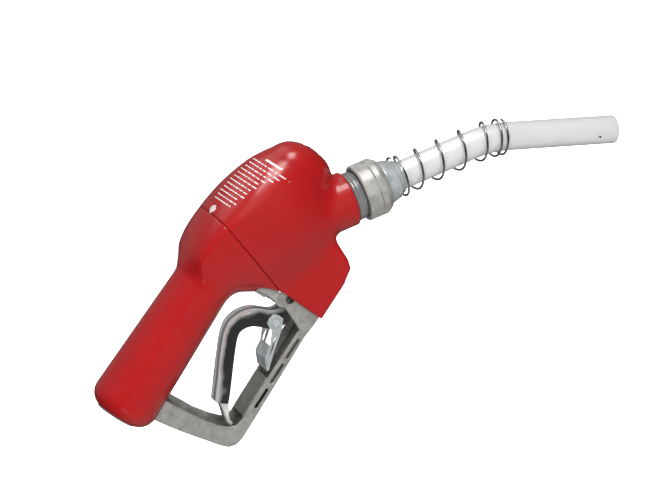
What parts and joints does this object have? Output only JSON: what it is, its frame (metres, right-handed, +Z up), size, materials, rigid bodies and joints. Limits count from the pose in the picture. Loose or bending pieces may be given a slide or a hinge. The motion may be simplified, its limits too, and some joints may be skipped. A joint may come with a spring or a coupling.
{
  "type": "fuel nozzle",
  "caption": "Automatic fuel nozzle with red vinyl covers, cast lever guard, sprung lever with hold-open clip, hexagonal spout nut and a bent spout with an anchor spring.",
  "frame": {"origin": "centre of the inlet thread's mouth at the rear end of the grip", "axes": "+X along the grip towards the spout, +Z up, away from the lever guard, Y across"},
  "size_m": [0.3748, 0.0658, 0.2408],
  "materials": {
    "red_vinyl": "glossy moulded vinyl",
    "cast_aluminium": "as-cast, tumbled",
    "machined_aluminium": "machined",
    "bright_aluminium": "satin drawn tube",
    "chromed_steel": "bright plated",
    "zinc_plated_steel": "zinc plated, satin",
    "spring_steel": "drawn wire",
    "stainless": "turned",
    "brass": "turned",
    "black_rubber": "moulded",
    "white_acetal": "moulded"
  },
  "bodies": {
    "body": {"rear_cover": "red_vinyl", "front_cover": "red_vinyl", "body_casting": "machined_aluminium", "lever_guard": "cast_aluminium", "guard_screws": "zinc_plated_steel", "spout_nut": "cast_aluminium", "spout_bushing": "machined_aluminium", "spout_tube": "bright_aluminium", "anchor_spring": "spring_steel", "spring_stop": "spring_steel", "spout_seals": "black_rubber", "aspirator_tube": "white_acetal", "tip_insert": "white_acetal", "inlet_strainer": "white_acetal", "inlet_gasket": "black_rubber", "main_valve_seat": "stainless", "main_valve_cap": "machined_aluminium", "main_cap_seal": "black_rubber", "packing_nut": "brass", "stem_packing": "black_rubber", "vacuum_cap": "machined_aluminium", "vacuum_cap_screws": "zinc_plated_steel", "diaphragm": "black_rubber", "check_valve_seat": "brass", "check_valve_guide": "brass", "main_spring": "spring_steel", "plunger_spring": "spring_steel", "latch_spring": "spring_steel"},
    "main_valve": {"valve_stem": "stainless", "poppet_seal": "black_rubber"},
    "latch_plunger": {"latch_plunger": "stainless", "lever_pin": "stainless"},
    "lever": {"lever": "chromed_steel", "clip_spacer": "zinc_plated_steel", "clip_rivet": "zinc_plated_steel", "clip_spring": "spring_steel"},
    "hold_open_clip": {"hold_open_clip": "zinc_plated_steel"},
    "latch_pin": {"latch_pin": "stainless"},
    "check_poppet": {"check_poppet": "brass", "check_spring": "spring_steel"}
  },
  "joints": [
    {"name": "plunger_drop", "type": "slide", "parent": "body", "child": "latch_plunger", "axis": [0, 0, -1], "range_m": [0, 0.004], "stiffness_N_per_m": 900, "deforming": ["plunger_spring"]},
    {"name": "lever_swing", "type": "hinge", "parent": "latch_plunger", "child": "lever", "pos_m": [0.146, 0, -0.064], "axis": [0, 1, 0], "range_deg": [0, 12.5], "stiffness_Nm_per_rad": 1.2},
    {"name": "valve_lift", "type": "slide", "parent": "body", "child": "main_valve", "axis": [0, 0, 1], "range_m": [0, 0.00393], "deforming": ["main_spring"]},
    {"name": "clip_swing", "type": "hinge", "parent": "lever", "child": "hold_open_clip", "pos_m": [0.1146, 0, -0.0592], "axis": [0, 1, 0], "range_deg": [0, 25], "stiffness_Nm_per_rad": 0.02},
    {"name": "latch_pin_slide", "type": "slide", "parent": "body", "child": "latch_pin", "axis": [0.9272, 0, -0.3746], "range_m": [0, 0.0015], "stiffness_N_per_m": 400},
    {"name": "check_lift", "type": "slide", "parent": "body", "child": "check_poppet", "axis": [0.809, 0, -0.5878], "range_m": [0, 0.003], "stiffness_N_per_m": 150}
  ],
  "couplings": [
    {"joint": "valve_lift", "follows": "lever_swing", "m_per_rad": 0.018}
  ]
}
